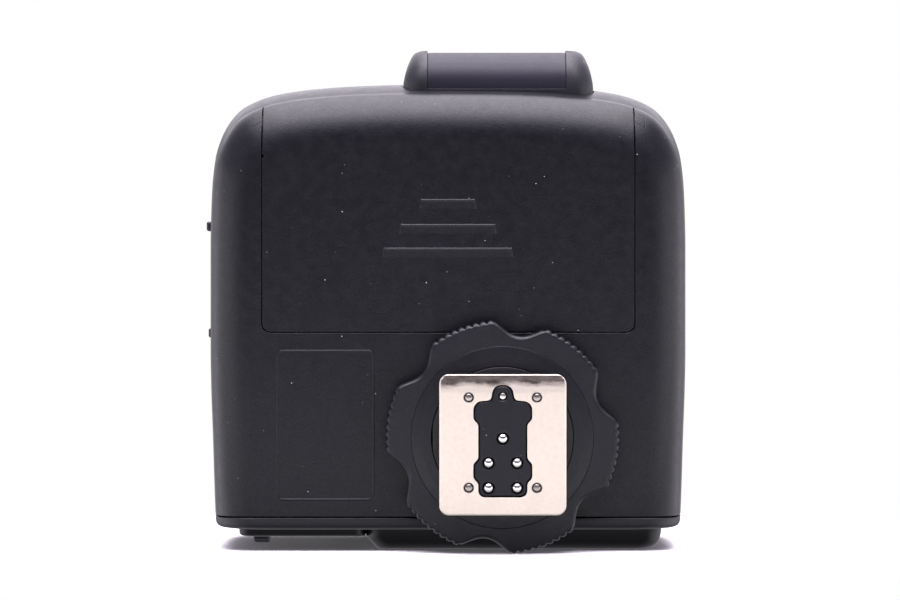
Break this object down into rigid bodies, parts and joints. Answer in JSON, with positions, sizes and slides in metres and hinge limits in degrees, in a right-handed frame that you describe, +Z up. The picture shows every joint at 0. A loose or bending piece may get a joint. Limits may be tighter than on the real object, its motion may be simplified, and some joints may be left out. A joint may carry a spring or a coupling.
{
  "type": "wireless flash trigger",
  "caption": "Radio flash trigger: boxy casing with a locking shoe foot below, an accessory shoe on top, a rear display panel, front lamp housing and sliding battery cover.",
  "frame": {"origin": "centre of the foot plate's underside", "axes": "+Z up with the foot down, +Y forward towards the subject, +X to the viewer's right"},
  "size_m": [0.0727, 0.0749, 0.0583],
  "materials": {
    "case": "fine matt texture",
    "battery_cover": "fine matt texture",
    "rear_case": "fine matt texture",
    "bezel": "satin",
    "control_plate": "satin",
    "display_window": "clear, polished",
    "lcd": "glossy",
    "buttons": "matt rubber",
    "dial": "matt rubber",
    "bracket": "matt",
    "foot_metal": "nickel plated, fine brushed",
    "rivets": "nickel plated",
    "contacts": "polished plating",
    "insert": "matt",
    "collar": "matt",
    "washer": "satin",
    "ring": "satin",
    "tray": "matt",
    "cells": "printed jacket, satin",
    "springs": "nickel plated",
    "boards": "solder mask",
    "lamp_window": "smoky, polished",
    "led": "clear",
    "knobs": "satin",
    "socket": "stamped",
    "jack": "turned",
    "lamp": "frosted",
    "shoe": "stamped, satin"
  },
  "bodies": {
    "casing": {"lower_housing": "case", "upper_housing": "case", "rear_cover": "rear_case", "display_bezel": "bezel", "display_window": "display_window", "lcd_module": "lcd", "control_plate": "control_plate", "main_board": "boards", "radio_board": "boards", "battery_tray": "tray", "battery_cell_rear": "cells", "battery_cell_front": "cells", "cell_link_plate": "springs", "cell_terminal_rear": "springs", "cell_terminal_front": "springs", "thread_collar": "collar", "foot_neck": "collar", "foot_plate": "foot_metal", "foot_insulator": "insert", "foot_rivet_a": "rivets", "foot_rivet_b": "rivets", "foot_rivet_c": "rivets", "foot_rivet_d": "rivets", "top_shoe_rails": "shoe", "top_shoe_base": "collar", "top_contact_centre": "contacts", "top_contact_a": "contacts", "top_contact_b": "contacts", "top_contact_c": "contacts", "top_contact_d": "contacts", "top_shoe_screw_a": "rivets", "top_shoe_screw_b": "rivets", "top_shoe_screw_c": "rivets", "top_shoe_screw_d": "rivets", "af_housing": "case", "af_window": "lamp_window", "af_led": "led", "dial_bracket": "bracket", "status_lamp": "lamp", "usb_socket": "socket", "sync_jack": "jack"},
    "washer": {"pressure_washer": "washer"},
    "ring": {"lock_ring": "ring"},
    "lock_pin": {"lock_pin": "rivets"},
    "battery_cover": {"battery_cover": "battery_cover"},
    "power_knob": {"power_switch_knob": "knobs"},
    "af_knob": {"af_switch_knob": "knobs"},
    "test_button": {"test_button": "buttons"},
    "group_button": {"group_button": "buttons"},
    "channel_button": {"channel_button": "buttons"},
    "mode_button": {"mode_button": "buttons"},
    "set_button": {"set_button": "buttons"},
    "dial": {"select_dial": "dial"},
    "centre_contact": {"centre_contact": "contacts"},
    "contact_a": {"contact_pin_a": "contacts"},
    "contact_b": {"contact_pin_b": "contacts"},
    "contact_c": {"contact_pin_c": "contacts"},
    "contact_d": {"contact_pin_d": "contacts"}
  },
  "joints": [
    {"name": "ring_turn", "type": "hinge", "parent": "washer", "child": "ring", "pos_m": [0, 0.00093, 0.007], "axis": [0, 0, -1], "range_deg": [0, 270]},
    {"name": "washer_travel", "type": "slide", "parent": "casing", "child": "washer", "axis": [0, 0, -1], "range_m": [0, 0.0012]},
    {"name": "lock_pin_travel", "type": "slide", "parent": "casing", "child": "lock_pin", "axis": [0, 0, -1], "range_m": [0, 0.0015]},
    {"name": "battery_cover_slide", "type": "slide", "parent": "casing", "child": "battery_cover", "axis": [0, 1, 0], "range_m": [0, 0.038]},
    {"name": "power_switch_slide", "type": "slide", "parent": "casing", "child": "power_knob", "axis": [0, 0, 1], "range_m": [0, 0.0045]},
    {"name": "af_switch_slide", "type": "slide", "parent": "casing", "child": "af_knob", "axis": [0, 0, 1], "range_m": [0, 0.0045]},
    {"name": "test_button_press", "type": "slide", "parent": "casing", "child": "test_button", "axis": [0, -0.29, -0.957], "range_m": [0, 0.0006], "stiffness_N_per_m": 800},
    {"name": "group_button_press", "type": "slide", "parent": "casing", "child": "group_button", "axis": [0, 1, 0], "range_m": [0, 0.0005], "stiffness_N_per_m": 800},
    {"name": "channel_button_press", "type": "slide", "parent": "casing", "child": "channel_button", "axis": [0, 1, 0], "range_m": [0, 0.0005], "stiffness_N_per_m": 800},
    {"name": "mode_button_press", "type": "slide", "parent": "casing", "child": "mode_button", "axis": [0, 1, 0], "range_m": [0, 0.0006], "stiffness_N_per_m": 800},
    {"name": "set_button_press", "type": "slide", "parent": "casing", "child": "set_button", "axis": [0, 1, 0], "range_m": [0, 0.0006], "stiffness_N_per_m": 800},
    {"name": "dial_turn", "type": "hinge", "parent": "casing", "child": "dial", "pos_m": [0.0365, -0.00758, 0.0228], "axis": [1, 0, 0], "continuous": true},
    {"name": "centre_contact_press", "type": "slide", "parent": "casing", "child": "centre_contact", "axis": [0, 0, 1], "range_m": [0, 0.0005], "stiffness_N_per_m": 300},
    {"name": "contact_a_press", "type": "slide", "parent": "casing", "child": "contact_a", "axis": [0, 0, 1], "range_m": [0, 0.0005], "stiffness_N_per_m": 300},
    {"name": "contact_b_press", "type": "slide", "parent": "casing", "child": "contact_b", "axis": [0, 0, 1], "range_m": [0, 0.0005], "stiffness_N_per_m": 300},
    {"name": "contact_c_press", "type": "slide", "parent": "casing", "child": "contact_c", "axis": [0, 0, 1], "range_m": [0, 0.0005], "stiffness_N_per_m": 300},
    {"name": "contact_d_press", "type": "slide", "parent": "casing", "child": "contact_d", "axis": [0, 0, 1], "range_m": [0, 0.0005], "stiffness_N_per_m": 300}
  ],
  "couplings": [
    {"joint": "washer_travel", "follows": "ring_turn", "m_per_rad": 0.00023873},
    {"joint": "lock_pin_travel", "follows": "ring_turn", "m_per_rad": 0.00029709}
  ]
}
